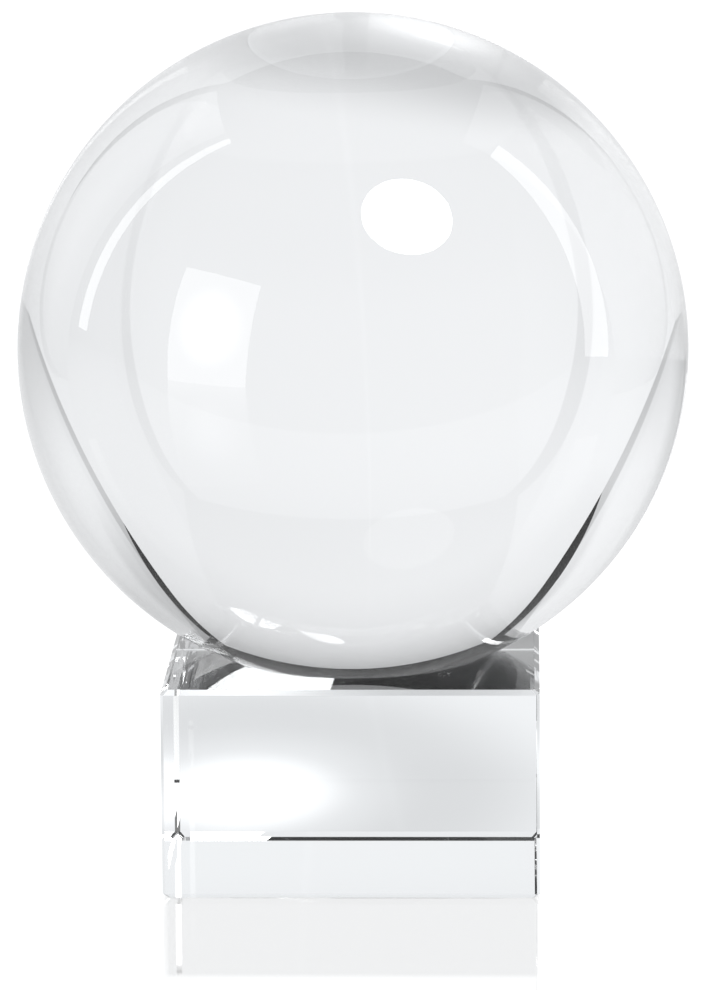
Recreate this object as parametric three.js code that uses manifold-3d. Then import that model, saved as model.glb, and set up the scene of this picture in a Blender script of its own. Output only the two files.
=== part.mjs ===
// Crystal ball: a solid polished glass ball resting in the dished seat of a clear glass block.
// Millimetres, +Z up. The origin is the middle of the block's underside.

import * as THREE from 'three';
import { ConvexGeometry } from 'three/addons/geometries/ConvexGeometry.js';
import { mergeVertices } from 'three/addons/utils/BufferGeometryUtils.js';
import Module from 'manifold-3d';

const wasm = await Module();
wasm.setup();

// Driving dimensions

const BALL_RADIUS = 55;
const BALL_DETAIL = 15; // cuts along each edge of the icosahedron that the ball is rounded from

const BLOCK_SIDE = 61;
const BLOCK_HEIGHT = 34.5;
const BLOCK_CHAMFER = 0.8; // on all twelve edges

const SEAT_DEPTH = 4.4; // how far the ball sinks below the block's top face
const SEAT_GAP = 0.3; // between the ball and the seat it rests in
const SEAT_RIM_CHAMFER = 0.4;
const SEAT_ARC_STEPS = 8;
const SEAT_SECTORS = 72;
const CUT_OVERSHOOT = 2; // how far the seat's cutter stands above the block

// Sizes that follow from them

const BALL_CENTRE_Z = BLOCK_HEIGHT - SEAT_DEPTH + BALL_RADIUS;
const SEAT_RADIUS = BALL_RADIUS + SEAT_GAP;
const RIM_BOTTOM_Z = BLOCK_HEIGHT - SEAT_RIM_CHAMFER;

// Materials

function clearGlass(colour) {
  return new THREE.MeshStandardMaterial({
    color: colour,
    roughness: 0.02,
    metalness: 0,
    transparent: true,
    opacity: 0.35,
  });
}

// Between three.js geometry and manifold-3d solids

function solidFrom(geometry) {
  const bare = geometry.clone();
  bare.deleteAttribute('normal');
  bare.deleteAttribute('uv');
  const merged = mergeVertices(bare);
  const corners = merged.index.array;
  const triangles = [];
  for (let i = 0; i < corners.length; i += 3) {
    const [a, b, c] = corners.slice(i, i + 3);
    if (a !== b && b !== c && c !== a) {
      triangles.push(a, b, c);
    }
  }
  return new wasm.Manifold(new wasm.Mesh({
    numProp: 3,
    vertProperties: new Float32Array(merged.attributes.position.array),
    triVerts: new Uint32Array(triangles),
  }));
}

function geometryFrom(solid) {
  const mesh = solid.getMesh();
  const geometry = new THREE.BufferGeometry();
  geometry.setAttribute('position', new THREE.BufferAttribute(mesh.vertProperties, 3));
  geometry.setIndex(new THREE.BufferAttribute(mesh.triVerts, 1));
  geometry.computeVertexNormals();
  return geometry;
}

// Stand block: a square block with every edge chamfered and a spherical seat in its top

function chamferedBlock(side, height, chamfer) {
  const half = new THREE.Vector3(side / 2, side / 2, height / 2);
  const corners = [];
  for (const x of [-1, 1]) {
    for (const y of [-1, 1]) {
      for (const z of [-1, 1]) {
        for (const outermost of ['x', 'y', 'z']) {
          const corner = half.clone().subScalar(chamfer);
          corner[outermost] = half[outermost];
          corner.multiply(new THREE.Vector3(x, y, z));
          corners.push(corner);
        }
      }
    }
  }
  const block = new ConvexGeometry(corners);
  block.translate(0, 0, height / 2);
  return block;
}

function seatRadiusAt(z) {
  return Math.sqrt(SEAT_RADIUS ** 2 - (BALL_CENTRE_Z - z) ** 2);
}

function seatCutter() {
  const rimAngle = Math.asin(seatRadiusAt(RIM_BOTTOM_Z) / SEAT_RADIUS);
  const profile = [];
  for (let step = 0; step <= SEAT_ARC_STEPS; step += 1) {
    const angle = (rimAngle * step) / SEAT_ARC_STEPS;
    const across = SEAT_RADIUS * Math.sin(angle);
    const up = BALL_CENTRE_Z - SEAT_RADIUS * Math.cos(angle);
    profile.push(new THREE.Vector2(across, up));
  }
  const flare = SEAT_RIM_CHAMFER + CUT_OVERSHOOT;
  profile.push(new THREE.Vector2(seatRadiusAt(RIM_BOTTOM_Z) + flare, RIM_BOTTOM_Z + flare));
  profile.push(new THREE.Vector2(0, RIM_BOTTOM_Z + flare));
  const cutter = new THREE.LatheGeometry(profile, SEAT_SECTORS);
  cutter.rotateX(Math.PI / 2);
  return cutter;
}

function standBlock() {
  const block = solidFrom(chamferedBlock(BLOCK_SIDE, BLOCK_HEIGHT, BLOCK_CHAMFER));
  const seated = block.subtract(solidFrom(seatCutter()));
  const mesh = new THREE.Mesh(geometryFrom(seated), clearGlass(0xe9eef0));
  mesh.name = 'stand_block';
  return mesh;
}

// Crystal ball: one solid sphere, sitting in the seat by its own weight

function crystalBall() {
  const sphere = new THREE.IcosahedronGeometry(BALL_RADIUS, BALL_DETAIL);
  const mesh = new THREE.Mesh(sphere, clearGlass(0xf1f4f5));
  mesh.name = 'crystal_ball';
  mesh.position.z = BALL_CENTRE_Z;
  return mesh;
}

const crystalBallOnStand = new THREE.Group();
crystalBallOnStand.add(standBlock());
crystalBallOnStand.add(crystalBall());

export default crystalBallOnStand;
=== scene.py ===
"""Crystal ball on its clear glass block, inside a photographer's white light tent.

The CAD frame gives the ball, the block and the lift joint. This script gives both pieces their polished
surfaces and fine glass, and builds the tent, lights and camera round them. Metres, +Z up.
"""

import math

import bmesh
import bpy
from mathutils import Matrix, Vector


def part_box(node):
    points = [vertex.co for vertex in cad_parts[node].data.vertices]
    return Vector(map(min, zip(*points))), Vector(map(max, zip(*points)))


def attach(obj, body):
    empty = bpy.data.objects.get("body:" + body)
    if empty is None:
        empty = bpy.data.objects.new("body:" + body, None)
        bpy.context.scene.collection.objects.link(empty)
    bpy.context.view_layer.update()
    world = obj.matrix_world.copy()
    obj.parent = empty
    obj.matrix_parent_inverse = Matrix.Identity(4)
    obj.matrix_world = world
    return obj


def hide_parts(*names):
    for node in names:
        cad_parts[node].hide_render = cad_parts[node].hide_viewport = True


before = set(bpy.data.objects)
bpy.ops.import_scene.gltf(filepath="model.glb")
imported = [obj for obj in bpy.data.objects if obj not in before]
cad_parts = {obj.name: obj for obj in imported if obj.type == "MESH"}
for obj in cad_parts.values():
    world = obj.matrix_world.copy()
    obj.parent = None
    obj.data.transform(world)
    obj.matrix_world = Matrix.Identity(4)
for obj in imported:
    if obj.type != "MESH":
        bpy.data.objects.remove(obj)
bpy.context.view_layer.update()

# --------------------------------------------------------------------------------------------------
# Sizes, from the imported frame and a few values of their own
# --------------------------------------------------------------------------------------------------

MM = 0.001

ball_low, ball_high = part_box("crystal_ball")
block_low, block_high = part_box("stand_block")

BALL_RADIUS = (ball_high.x - ball_low.x) / 2
BALL_CENTRE = (ball_low + ball_high) / 2
BLOCK_HALF = (block_high.x - block_low.x) / 2
BLOCK_TOP = block_high.z

# Stand block's edges and seat
LEVEL_BEVEL = 0.8 * MM
UPRIGHT_BEVEL = 0.45 * MM
SEAT_AIR_GAP = 0.1 * MM
SEAT_RIM_CHAMFER = 0.4 * MM

# Fineness of the meshes
BALL_CUTS = 95
BLOCK_SIDE_STEPS = 46
BLOCK_CORNER_STEPS = 2
SEAT_RINGS = 28
CREASE_ANGLE = math.radians(12)
WELD_DISTANCE = 0.001 * MM

# Glass
BALL_IOR = 1.52
BALL_TINT = (0.99, 0.994, 0.996)
BALL_SMUDGE_SCALE = 38.0
BLOCK_IOR = 1.47
BLOCK_TINT = (0.975, 0.986, 0.991)
BLOCK_SMUDGE_SCALE = 60.0
STREAK_DEPTH = 0.01
STREAK_DISTORTION = 1.5
SMUDGE_SHOWS = (0.5, 0.85)
SMUDGE_ROUGHNESS = 0.02

# Camera, placed round the ball's centre and aimed at a point on the object's axis
CAMERA_AZIMUTH = math.radians(1.75)
CAMERA_ELEVATION = math.radians(9.51)
CAMERA_DISTANCE = 17.007 * BALL_RADIUS
CAMERA_ROLL = math.radians(-0.405)
AIM_HEIGHT = 60.6 * MM
SENSOR = 36.0
LENS = SENSOR * 5700 / 990

# Light tent: a white sheet swept up behind the object, between two white walls
SWEEP_START = 0.125
SWEEP_RADIUS = 0.52
SWEEP_TOP = 0.92
SWEEP_LEFT = -0.455
SWEEP_RIGHT = 0.385
SWEEP_STEPS = 48
FLOOR_REACH = 6.0
FLOOR_DROP = 0.05 * MM
LEFT_WALL_X = -0.52
LEFT_WALL_DEPTH = (0.155, 0.64)
LEFT_WALL_TOP = 0.95
RIGHT_WALL_X = 0.423
RIGHT_WALL_DEPTH = (0.04, 0.645)
RIGHT_WALL_TOP = 0.87

# White sheets: their gloss, and how white they are to the camera
SHEET_COLOUR = (0.975, 0.985, 1.0, 1)
SHEET_IOR = 1.49
SHEET_ROUGHNESS = 0.03
WHITE_IN_VIEW = 1.14
MIRROR_IN_VIEW = 0.45
MIRROR_SLANT = (0.3, 0.85)
MIRROR_CENTRE = (0.0, -45 * MM)
MIRROR_FADE = (45 * MM, 80 * MM)
FRONT_SHADE = 0.78
FRONT_SHADE_FADE = (-78 * MM, -74 * MM)
FRONT_SHADE_TAPER = 0.066

# Light from the floor and sweep, where 1 is plain white; each fade runs between two places or distances
FLOOR_LEVEL = 0.965
FLOOR_EDGE = (-0.30, -0.28)
FLOOR_PAST_EDGE = 0.42
UNDER_BLOCK_LEVEL = 0.15
FOCUS_SPOT = (-21 * MM, 61 * MM)
FOCUS_STRETCH = 1.6
SPOT_FADE = (6 * MM, 21 * MM)
SPOT_GAIN = 0.5
SHADOW_LEVEL = 0.725
SHADOW_INNER_FADE = (10 * MM, 34 * MM)
SHADOW_OUTER_FADE = (37 * MM, 66 * MM)
BESIDE_CENTRE = (15 * MM, 5 * MM)
BESIDE_STRETCH = 0.35
BESIDE_FADE = (0.10, 0.18)
BESIDE_BACK_FADE = (15 * MM, 35 * MM)
BESIDE_BLOCK_LEVEL = 0.25
# A faint painted bright line across the floor and up the sweep
BRIGHT_LINE_SLANT = 0.078
BRIGHT_LINE_WIDTH = 1.6 * MM
BRIGHT_LINE_GAIN = 1.02
SWEEP_LEVEL = 0.965
SWEEP_SIDE_FADE = (-0.45, 0.40)
SWEEP_SIDE_LEVELS = (1.035, 0.965)
SWEEP_HEIGHT_FADE = (0.40, 1.05)
SWEEP_TOP_LEVEL = 0.68

# Light from the walls
BELOW_SWEEP_FADE = (SWEEP_RADIUS - 4 * MM, SWEEP_RADIUS + 6 * MM)
BELOW_SWEEP_LEVEL = 0.70
LEFT_FRONT_FADE = (0.13, 0.32)
LEFT_FRONT_LEVEL = 0.42
LEFT_FOOT_HEIGHT = 0.25
LEFT_FOOT_LEVELS = (0.78, 1.02)
RIGHT_FRONT_FADE = (0.10, 0.45)
RIGHT_FRONT_LEVEL = 0.70
RIGHT_FOOT_HEIGHT = 0.20
RIGHT_FOOT_LEVEL = 0.76
RIGHT_HEIGHT_FADE = (0.20, 0.55)
RIGHT_HEIGHT_LEVELS = (0.94, 0.70)

# Strip lights on the walls: depth and height ranges, and radiance
LEFT_STRIP = ((0.060, 0.105), (0.110, 0.97), 2.5)
RIGHT_STRIP = ((-0.015, 0.065), (0.07, 0.67), 2.2)
RIGHT_STRIP_GAP = 2 * MM
RIGHT_STRIP_TILT = -9.3

# Softboxes: azimuth and elevation in degrees, distance, half angles across and up, and radiance
ROUND_SOFTBOX = (150.6, 51.9, 1.2, 14.0, 13.2, 12.0)
SQUARE_SOFTBOX = (-132.3, 10.7, 1.1, 14.5, 18.0, 2.2)
HOT_CENTRE_RISE = 0.04
HOT_CENTRE_RADIUS = 0.28
HOT_CENTRE_GAIN = 3.0
OVERHEAD_CENTRE = (0.28, 0.20, 1.07)
OVERHEAD_SIZE = (0.46, 0.30)
OVERHEAD_RADIANCE = 1.05

# The room round the tent, by the Y and Z of the direction looked in
ROOM_FRONT_FADE = (0.15, -0.55)
ROOM_HEIGHT_FADE = (0.30, 0.70)
ROOM_BEHIND = 0.008
ROOM_IN_FRONT = 0.42
ROOM_OVERHEAD = 0.03


# --------------------------------------------------------------------------------------------------
# Small helpers
# --------------------------------------------------------------------------------------------------


def add_object(name, data):
    thing = bpy.data.objects.new(name, data)
    bpy.context.scene.collection.objects.link(thing)
    return thing


def direction(azimuth, elevation):
    """Unit vector at an azimuth from +Y towards +X and an elevation above the horizon, both in degrees."""
    a = math.radians(azimuth)
    e = math.radians(elevation)
    return Vector((math.sin(a) * math.cos(e), math.cos(a) * math.cos(e), math.sin(e)))


def mesh_from(name, bm):
    mesh = bpy.data.meshes.new(name)
    bm.to_mesh(mesh)
    bm.free()
    return mesh


def crease(bm, angle):
    """Shades every face smooth and keeps the edges sharper than angle as real edges."""
    for face in bm.faces:
        face.smooth = True
    for edge in bm.edges:
        if len(edge.link_faces) == 2 and edge.calc_face_angle() > angle:
            edge.smooth = False


# --------------------------------------------------------------------------------------------------
# Materials
# --------------------------------------------------------------------------------------------------


class Nodes:
    """Adds and links shader nodes in one tree."""

    def __init__(self, tree):
        self.tree = tree
        tree.nodes.clear()

    def add(self, kind, **settings):
        node = self.tree.nodes.new(kind)
        for key, value in settings.items():
            setattr(node, key, value)
        return node

    def put(self, node, **values):
        for key, value in values.items():
            node.inputs[key.replace("_", " ")].default_value = value
        return node

    def link(self, start, end):
        self.tree.links.new(start, end)


def new_material(name):
    material = bpy.data.materials.new(name)
    material.use_nodes = True
    return material, Nodes(material.node_tree)


def polished_glass(name, tint, ior, smudge_scale):
    """Water-clear optical glass with the faintest streaks in its colour and smudges on its polish."""
    material, n = new_material(name)
    glass = n.add("ShaderNodeBsdfPrincipled")
    n.put(glass, Transmission_Weight=1.0, IOR=ior)
    place = n.add("ShaderNodeTexCoord")
    streak = n.add("ShaderNodeTexNoise")
    n.put(streak, Scale=smudge_scale / 3, Detail=3.0, Distortion=STREAK_DISTORTION)
    n.link(place.outputs["Object"], streak.inputs["Vector"])
    colour = n.add("ShaderNodeMix", data_type="RGBA")
    colour.inputs["A"].default_value = [c - STREAK_DEPTH for c in tint] + [1]
    colour.inputs["B"].default_value = [*tint, 1]
    n.link(streak.outputs["Fac"], colour.inputs["Factor"])
    n.link(colour.outputs["Result"], glass.inputs["Base Color"])
    smudge = n.add("ShaderNodeTexNoise")
    n.put(smudge, Scale=smudge_scale, Detail=6.0, Roughness=0.6)
    n.link(place.outputs["Object"], smudge.inputs["Vector"])
    polish = n.add("ShaderNodeMapRange")
    n.put(polish, From_Min=SMUDGE_SHOWS[0], From_Max=SMUDGE_SHOWS[1], To_Min=0.0, To_Max=SMUDGE_ROUGHNESS)
    n.link(smudge.outputs["Fac"], polish.inputs["Value"])
    n.link(polish.outputs["Result"], glass.inputs["Roughness"])
    out = n.add("ShaderNodeOutputMaterial")
    n.link(glass.outputs["BSDF"], out.inputs["Surface"])
    return material


def ramp(n, source, start, end, low, high):
    """A value that eases from low to high while source runs from start to end."""
    node = n.add("ShaderNodeMapRange", interpolation_type="SMOOTHSTEP")
    n.put(node, From_Min=start, From_Max=end, To_Min=low, To_Max=high)
    n.link(source, node.inputs["Value"])
    return node.outputs["Result"]


def combine(n, operation, *values):
    """Folds values, which are sockets or numbers, together with one maths operation."""
    total = values[0]
    for value in values[1:]:
        node = n.add("ShaderNodeMath", operation=operation)
        for socket, term in zip(node.inputs, (total, value)):
            if isinstance(term, (int, float)):
                socket.default_value = term
            else:
                n.link(term, socket)
        total = node.outputs["Value"]
    return total


def position(n):
    """The shaded point's X, Y and Z in the shared frame."""
    place = n.add("ShaderNodeNewGeometry")
    split = n.add("ShaderNodeSeparateXYZ")
    n.link(place.outputs["Position"], split.inputs["Vector"])
    return split.outputs["X"], split.outputs["Y"], split.outputs["Z"]


def distance_from(n, x, y, centre, stretch=1.0):
    """Distance in a plane from centre, with the second axis shrunk by stretch to give ovals."""
    across = combine(n, "SUBTRACT", x, centre[0])
    along = combine(n, "DIVIDE", combine(n, "SUBTRACT", y, centre[1]), stretch)
    squares = combine(n, "ADD", combine(n, "MULTIPLY", across, across), combine(n, "MULTIPLY", along, along))
    return combine(n, "SQRT", squares, 0)


def shadow(n, x, y):
    """The ball's soft shadow behind it, open in the middle where the ball focuses the light."""
    away = distance_from(n, x, y, FOCUS_SPOT, FOCUS_STRETCH)
    inner = ramp(n, away, *SHADOW_INNER_FADE, 1.0, SHADOW_LEVEL)
    outer = ramp(n, away, *SHADOW_OUTER_FADE, 0.0, 1.0 - SHADOW_LEVEL)
    return combine(n, "ADD", inner, outer)


def painted_bright_line(n, x, y):
    """A faint painted bright line that runs from the object to the back of the sweep."""
    line = combine(n, "ADD", x, combine(n, "MULTIPLY", combine(n, "SUBTRACT", y, SWEEP_START), BRIGHT_LINE_SLANT))
    off = combine(n, "ABSOLUTE", line, 0)
    return ramp(n, off, 0.0, BRIGHT_LINE_WIDTH, BRIGHT_LINE_GAIN, 1.0)


def under_block(n, x, y):
    """Beneath the block it is dark, as light that enters its sides cannot leave through its underside."""
    reach = combine(n, "MAXIMUM", combine(n, "ABSOLUTE", x, 0), combine(n, "ABSOLUTE", y, 0))
    return ramp(n, reach, BLOCK_HALF - MM, BLOCK_HALF, UNDER_BLOCK_LEVEL, 1.0)


def beside_block(n, x, y):
    """The floor on either side of the block gets little light, as the ball hangs over it."""
    away = distance_from(n, x, y, BESIDE_CENTRE, BESIDE_STRETCH)
    around = ramp(n, away, *BESIDE_FADE, BESIDE_BLOCK_LEVEL, 1.0)
    behind = ramp(n, y, *BESIDE_BACK_FADE, 0.0, 1.0)
    return combine(n, "MAXIMUM", around, behind)


def floor_light(n):
    """White in the tent, with the shadow and the bright spot inside it, and dimmer in front of the tent."""
    x, y, _ = position(n)
    spot = ramp(n, distance_from(n, x, y, FOCUS_SPOT, FOCUS_STRETCH), *SPOT_FADE, SPOT_GAIN, 0.0)
    level = combine(n, "ADD", shadow(n, x, y), spot)
    extent = ramp(n, y, *FLOOR_EDGE, FLOOR_PAST_EDGE, 1.0)
    shade = combine(n, "MULTIPLY", beside_block(n, x, y), under_block(n, x, y))
    # One factor is a faint painted bright line.
    return combine(n, "MULTIPLY", level, extent, painted_bright_line(n, x, y), shade, FLOOR_LEVEL)


def sweep_light(n):
    """Brighter on the left, falling off towards the top."""
    x, y, z = position(n)
    side = ramp(n, x, *SWEEP_SIDE_FADE, *SWEEP_SIDE_LEVELS)
    height = ramp(n, z, *SWEEP_HEIGHT_FADE, 1.0, SWEEP_TOP_LEVEL)
    # One factor is a faint painted bright line.
    return combine(n, "MULTIPLY", side, height, shadow(n, x, y), painted_bright_line(n, x, y), SWEEP_LEVEL)


def below_sweep(n, y, z):
    """A wall is dimmer where it stands below the sweep, which keeps the light off it."""
    away = distance_from(n, y, z, (SWEEP_START, SWEEP_RADIUS))
    return ramp(n, away, *BELOW_SWEEP_FADE, 1.0, BELOW_SWEEP_LEVEL)


def left_wall_light(n):
    """Dimmer at its front edge, at its foot and below the sweep."""
    _, y, z = position(n)
    front = ramp(n, y, *LEFT_FRONT_FADE, LEFT_FRONT_LEVEL, 1.0)
    foot = ramp(n, z, 0.0, LEFT_FOOT_HEIGHT, *LEFT_FOOT_LEVELS)
    return combine(n, "MULTIPLY", front, foot, below_sweep(n, y, z))


def right_wall_light(n):
    """Like the left wall, and dimmer towards its top as well."""
    _, y, z = position(n)
    front = ramp(n, y, *RIGHT_FRONT_FADE, RIGHT_FRONT_LEVEL, 1.0)
    foot = ramp(n, z, 0.0, RIGHT_FOOT_HEIGHT, RIGHT_FOOT_LEVEL, 1.0)
    height = ramp(n, z, *RIGHT_HEIGHT_FADE, *RIGHT_HEIGHT_LEVELS)
    return combine(n, "MULTIPLY", front, foot, height, below_sweep(n, y, z))


def front_shade(n):
    """The faint shade that the block throws on the floor just in front of it, narrowing as it goes."""
    x, y, _ = position(n)
    taper = combine(n, "MULTIPLY", combine(n, "ADD", y, BLOCK_HALF), FRONT_SHADE_TAPER)
    left = ramp(n, combine(n, "ADD", x, taper), -BLOCK_HALF, MM - BLOCK_HALF, 0.0, 1.0)
    right = ramp(n, x, BLOCK_HALF - MM, BLOCK_HALF, 1.0, 0.0)
    front = ramp(n, y, *FRONT_SHADE_FADE, 0.0, 1.0)
    back = ramp(n, y, 0.0, BLOCK_HALF, 1.0, 0.0)
    return combine(n, "SUBTRACT", 1.0, combine(n, "MULTIPLY", left, right, front, back, 1 - FRONT_SHADE))


def white_acrylic(name, light):
    """A glossy white sheet, seen from its front only, whose glow is painted light and shade set by position.

    The glass sees that painted light. The camera sees it plain white, with a painted shade and a faint
    mirror image before the block.
    """
    material, n = new_material(name)
    path = n.add("ShaderNodeLightPath")
    camera_ray = path.outputs["Is Camera Ray"]
    glow = n.add("ShaderNodeEmission")
    n.put(glow, Color=SHEET_COLOUR)
    n.link(light(n), glow.inputs["Strength"])
    plain = n.add("ShaderNodeEmission")
    n.put(plain, Color=(1, 1, 1, 1))
    n.link(combine(n, "MULTIPLY", front_shade(n), WHITE_IN_VIEW), plain.inputs["Strength"])
    body = n.add("ShaderNodeMixShader")
    n.link(camera_ray, body.inputs["Fac"])
    n.link(glow.outputs["Emission"], body.inputs[1])
    n.link(plain.outputs["Emission"], body.inputs[2])

    fresnel = n.add("ShaderNodeFresnel")
    n.put(fresnel, IOR=SHEET_IOR)
    slant = n.add("ShaderNodeLayerWeight")
    n.put(slant, Blend=0.5)
    x, y, _ = position(n)
    near = ramp(n, distance_from(n, x, y, MIRROR_CENTRE), *MIRROR_FADE, 1.0, 0.0)
    grazing = ramp(n, slant.outputs["Facing"], *MIRROR_SLANT, 0.0, MIRROR_IN_VIEW)
    in_view = combine(n, "MULTIPLY", grazing, near)
    coat = n.add("ShaderNodeMix")
    n.link(camera_ray, coat.inputs["Factor"])
    n.link(fresnel.outputs["Fac"], coat.inputs["A"])
    n.link(in_view, coat.inputs["B"])
    gloss = n.add("ShaderNodeBsdfGlossy")
    n.put(gloss, Color=(1, 1, 1, 1), Roughness=SHEET_ROUGHNESS)
    coated = n.add("ShaderNodeMixShader")
    n.link(coat.outputs["Result"], coated.inputs["Fac"])
    n.link(body.outputs["Shader"], coated.inputs[1])
    n.link(gloss.outputs["BSDF"], coated.inputs[2])

    side = n.add("ShaderNodeNewGeometry")
    clear = n.add("ShaderNodeBsdfTransparent")
    one_way = n.add("ShaderNodeMixShader")
    n.link(side.outputs["Backfacing"], one_way.inputs["Fac"])
    n.link(coated.outputs["Shader"], one_way.inputs[1])
    n.link(clear.outputs["BSDF"], one_way.inputs[2])
    out = n.add("ShaderNodeOutputMaterial")
    n.link(one_way.outputs["Shader"], out.inputs["Surface"])
    return material


# --------------------------------------------------------------------------------------------------
# Crystal ball
# --------------------------------------------------------------------------------------------------


def make_ball():
    """A finely divided cube rounded out to a true sphere, so that no pole gathers its faces."""
    bm = bmesh.new()
    bmesh.ops.create_cube(bm, size=2)
    bmesh.ops.subdivide_edges(bm, edges=bm.edges, cuts=BALL_CUTS, use_grid_fill=True)
    for vert in bm.verts:
        even = Vector(math.tan(c * math.pi / 4) for c in vert.co)
        vert.co = BALL_CENTRE + even.normalized() * BALL_RADIUS
    for face in bm.faces:
        face.smooth = True
    ball = add_object("polished_ball", mesh_from("polished_ball", bm))
    ball.data.materials.append(polished_glass("ball glass", BALL_TINT, BALL_IOR, BALL_SMUDGE_SCALE))
    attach(ball, "ball")
    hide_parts("crystal_ball")


# --------------------------------------------------------------------------------------------------
# Stand block
# --------------------------------------------------------------------------------------------------


def square_ring(inset, z):
    """Points round the block's square outline, drawn in by inset, with the upright edges bevelled."""
    reach = BLOCK_HALF - inset
    flat = reach - UPRIGHT_BEVEL
    points = []
    for quarter in range(4):
        turn = Matrix.Rotation(math.radians(90 * quarter), 3, "Z")
        for step in range(BLOCK_SIDE_STEPS):
            across = -flat + 2 * flat * step / BLOCK_SIDE_STEPS
            points.append(turn @ Vector((reach, across, z)))
        for step in range(BLOCK_CORNER_STEPS):
            share = step / BLOCK_CORNER_STEPS
            points.append(turn @ Vector((reach, flat, z)).lerp(Vector((flat, reach, z)), share))
    return points


def round_ring(guide, radius, z):
    """Points on a circle, one in the direction of each point of guide."""
    return [Vector((p.x, p.y, 0)).normalized() * radius + Vector((0, 0, z)) for p in guide]


def bridge(bm, lower, upper):
    count = len(lower)
    for i in range(count):
        j = (i + 1) % count
        bm.faces.new((lower[i], lower[j], upper[j], upper[i]))


def make_block():
    rings = [
        square_ring(LEVEL_BEVEL, 0),
        square_ring(0, LEVEL_BEVEL),
        square_ring(0, BLOCK_TOP - LEVEL_BEVEL),
        square_ring(LEVEL_BEVEL, BLOCK_TOP),
    ]
    guide = rings[1]
    seat_radius = BALL_RADIUS + SEAT_AIR_GAP
    rim_z = BLOCK_TOP - SEAT_RIM_CHAMFER
    rim_angle = math.acos((BALL_CENTRE.z - rim_z) / seat_radius)
    rim_radius = seat_radius * math.sin(rim_angle)
    rings.append(round_ring(guide, rim_radius + SEAT_RIM_CHAMFER, BLOCK_TOP))
    for step in range(SEAT_RINGS):
        angle = rim_angle * (1 - step / SEAT_RINGS)
        z = BALL_CENTRE.z - seat_radius * math.cos(angle)
        rings.append(round_ring(guide, seat_radius * math.sin(angle), z))

    bm = bmesh.new()
    loops = [[bm.verts.new(p) for p in ring] for ring in rings]
    for lower, upper in zip(loops, loops[1:]):
        bridge(bm, lower, upper)
    bm.faces.new(reversed(loops[0]))
    seat_floor = bm.verts.new((0, 0, BALL_CENTRE.z - seat_radius))
    last = loops[-1]
    for i, vert in enumerate(last):
        bm.faces.new((vert, last[(i + 1) % len(last)], seat_floor))
    bmesh.ops.remove_doubles(bm, verts=bm.verts, dist=WELD_DISTANCE)
    bmesh.ops.recalc_face_normals(bm, faces=bm.faces)
    crease(bm, CREASE_ANGLE)
    block = add_object("polished_block", mesh_from("polished_block", bm))
    block.data.materials.append(polished_glass("block glass", BLOCK_TINT, BLOCK_IOR, BLOCK_SMUDGE_SCALE))
    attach(block, "stand")
    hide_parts("stand_block")


# --------------------------------------------------------------------------------------------------
# Stage
# --------------------------------------------------------------------------------------------------


def make_sheet(name, rows, light):
    """A sheet through rows of points, facing the side from which the rows run left to right and upwards."""
    bm = bmesh.new()
    grid = [[bm.verts.new(p) for p in row] for row in rows]
    for lower, upper in zip(grid, grid[1:]):
        for i in range(len(lower) - 1):
            bm.faces.new((lower[i], lower[i + 1], upper[i + 1], upper[i])).smooth = True
    sheet = add_object(name, mesh_from(name, bm))
    sheet.data.materials.append(white_acrylic(name, light))


def make_stage():
    reach = FLOOR_REACH
    floor = [[(x, y, -FLOOR_DROP) for x in (-reach, reach)] for y in (-reach, reach)]
    make_sheet("floor", floor, floor_light)
    profile = []
    for step in range(SWEEP_STEPS + 1):
        angle = math.pi / 2 * step / SWEEP_STEPS
        y = SWEEP_START + SWEEP_RADIUS * math.sin(angle)
        profile.append((y, SWEEP_RADIUS * (1 - math.cos(angle)) - FLOOR_DROP))
    profile.append((profile[-1][0], SWEEP_TOP))
    sweep = [[(x, y, z) for x in (SWEEP_LEFT, SWEEP_RIGHT)] for y, z in profile]
    make_sheet("sweep", sweep, sweep_light)
    left = [[(LEFT_WALL_X, y, z) for y in LEFT_WALL_DEPTH] for z in (0, LEFT_WALL_TOP)]
    make_sheet("left wall", left, left_wall_light)
    right = [[(RIGHT_WALL_X, y, z) for y in reversed(RIGHT_WALL_DEPTH)] for z in (0, RIGHT_WALL_TOP)]
    make_sheet("right wall", right, right_wall_light)


def panel(name, centre, facing, size, radiance, shape="RECTANGLE", tilt=0.0):
    """An area light of a given radiance, seen by the glass but not by the camera."""
    light = bpy.data.lights.new(name, "AREA")
    light.shape = shape
    light.size, light.size_y = size
    area = size[0] * size[1] * (math.pi / 4 if shape == "ELLIPSE" else 1)
    light.energy = radiance * math.pi * area
    lamp = add_object(name, light)
    lamp.location = centre
    aim = Vector(facing).to_track_quat("-Z", "Y")
    lamp.rotation_mode = "QUATERNION"
    lamp.rotation_quaternion = aim @ Matrix.Rotation(math.radians(tilt), 3, "Z").to_quaternion()
    lamp.visible_camera = False
    return lamp


def wall(name, x, y_range, z_range, radiance, tilt=0.0):
    """A lit panel standing square to the X axis and facing the object."""
    centre = (x, sum(y_range) / 2, sum(z_range) / 2)
    size = (y_range[1] - y_range[0], z_range[1] - z_range[0])
    return panel(name, centre, (-math.copysign(1, x), 0, 0), size, radiance, tilt=tilt)


def softbox(name, azimuth, elevation, distance, half_width, half_height, radiance, shape="RECTANGLE"):
    """A lit panel facing the ball, sized by the half angles it fills in degrees."""
    away = direction(azimuth, elevation)
    width = 2 * distance * math.tan(math.radians(half_width))
    height = 2 * distance * math.tan(math.radians(half_height))
    return panel(name, BALL_CENTRE + away * distance, -away, (width, height), radiance, shape)


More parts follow.
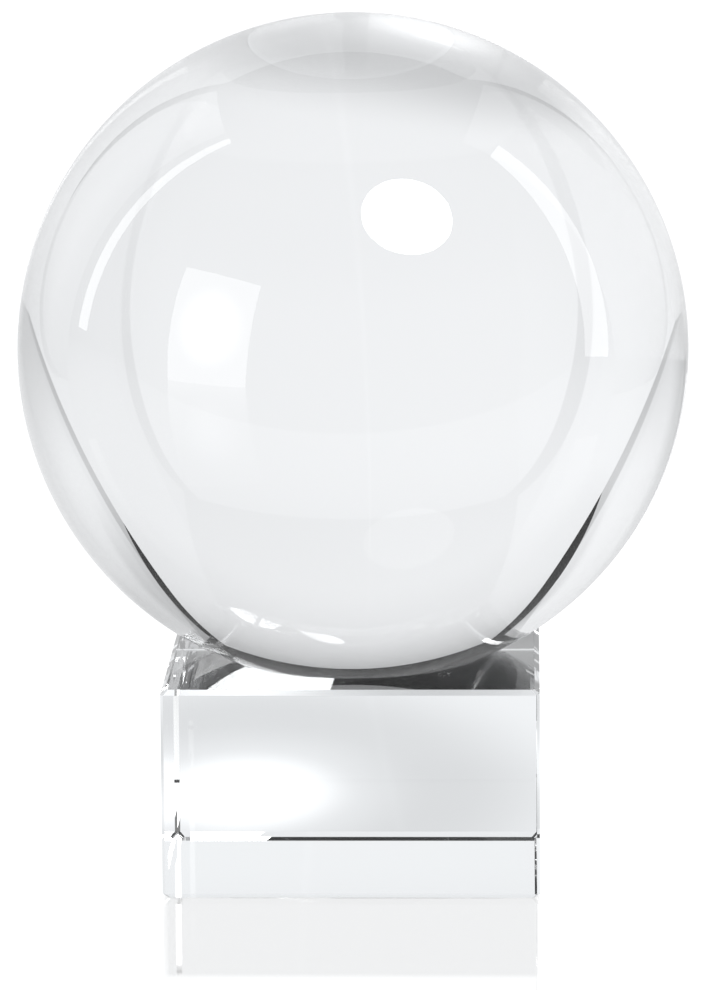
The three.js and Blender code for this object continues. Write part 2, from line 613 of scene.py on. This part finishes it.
def hot_centre(lamp):
    """Makes a softbox brighter in the middle, where its bulb shows through the cloth."""
    lamp.data.use_nodes = True
    n = Nodes(lamp.data.node_tree)
    place = n.add("ShaderNodeNewGeometry")
    offset = n.add("ShaderNodeVectorMath", operation="DISTANCE")
    n.link(place.outputs["Position"], offset.inputs[0])
    offset.inputs[1].default_value = lamp.location + Vector((0, 0, HOT_CENTRE_RISE))
    glow = n.add("ShaderNodeEmission")
    level = ramp(n, offset.outputs["Value"], 0.0, HOT_CENTRE_RADIUS, HOT_CENTRE_GAIN, 1.0)
    n.link(level, glow.inputs["Strength"])
    out = n.add("ShaderNodeOutputLight")
    n.link(glow.outputs["Emission"], out.inputs["Surface"])


def make_lights():
    wall("left strip", LEFT_WALL_X, *LEFT_STRIP)
    wall("right strip", RIGHT_WALL_X - RIGHT_STRIP_GAP, *RIGHT_STRIP, tilt=RIGHT_STRIP_TILT)
    softbox("round softbox", *ROUND_SOFTBOX, "ELLIPSE")
    hot_centre(softbox("square softbox", *SQUARE_SOFTBOX))
    overhead = panel("overhead softbox", OVERHEAD_CENTRE, (0, 0, -1), OVERHEAD_SIZE, OVERHEAD_RADIANCE)
    overhead.visible_glossy = False


def make_world():
    """White to the camera. To the glass it is a room, pale in front of the tent and dark elsewhere."""
    world = bpy.data.worlds.new("studio")
    bpy.context.scene.world = world
    world.use_nodes = True
    n = Nodes(world.node_tree)
    place = n.add("ShaderNodeTexCoord")
    split = n.add("ShaderNodeSeparateXYZ")
    n.link(place.outputs["Generated"], split.inputs["Vector"])
    pale = ramp(n, split.outputs["Z"], *ROOM_HEIGHT_FADE, ROOM_IN_FRONT, ROOM_OVERHEAD)
    front = ramp(n, split.outputs["Y"], *ROOM_FRONT_FADE, 0.0, 1.0)
    room = n.add("ShaderNodeBackground")
    n.link(combine(n, "ADD", combine(n, "MULTIPLY", pale, front), ROOM_BEHIND), room.inputs["Strength"])
    white = n.add("ShaderNodeBackground")
    n.put(white, Color=(1, 1, 1, 1), Strength=1.0)
    path = n.add("ShaderNodeLightPath")
    mix = n.add("ShaderNodeMixShader")
    n.link(path.outputs["Is Camera Ray"], mix.inputs["Fac"])
    n.link(room.outputs["Background"], mix.inputs[1])
    n.link(white.outputs["Background"], mix.inputs[2])
    out = n.add("ShaderNodeOutputWorld")
    n.link(mix.outputs["Shader"], out.inputs["Surface"])


def make_camera():
    lens = bpy.data.cameras.new("camera")
    lens.sensor_width = SENSOR
    lens.lens = LENS
    lens.clip_start = 0.05
    lens.clip_end = 50
    camera = add_object("camera", lens)
    away = Vector((math.sin(CAMERA_AZIMUTH), -math.cos(CAMERA_AZIMUTH), math.tan(CAMERA_ELEVATION)))
    camera.location = BALL_CENTRE + away.normalized() * CAMERA_DISTANCE
    towards = Vector((0, 0, AIM_HEIGHT)) - camera.location
    camera.rotation_mode = "QUATERNION"
    level = towards.to_track_quat("-Z", "Y")
    camera.rotation_quaternion = level @ Matrix.Rotation(CAMERA_ROLL, 3, "Z").to_quaternion()
    bpy.context.scene.camera = camera


def set_rendering():
    scene = bpy.context.scene
    scene.view_settings.view_transform = "Standard"
    cycles = scene.cycles
    cycles.max_bounces = 24
    cycles.transmission_bounces = 24
    cycles.glossy_bounces = 12
    cycles.diffuse_bounces = 3
    cycles.transparent_max_bounces = 16
    cycles.sample_clamp_indirect = 6


make_camera()
make_world()
make_stage()
make_lights()
make_ball()
make_block()
set_rendering()
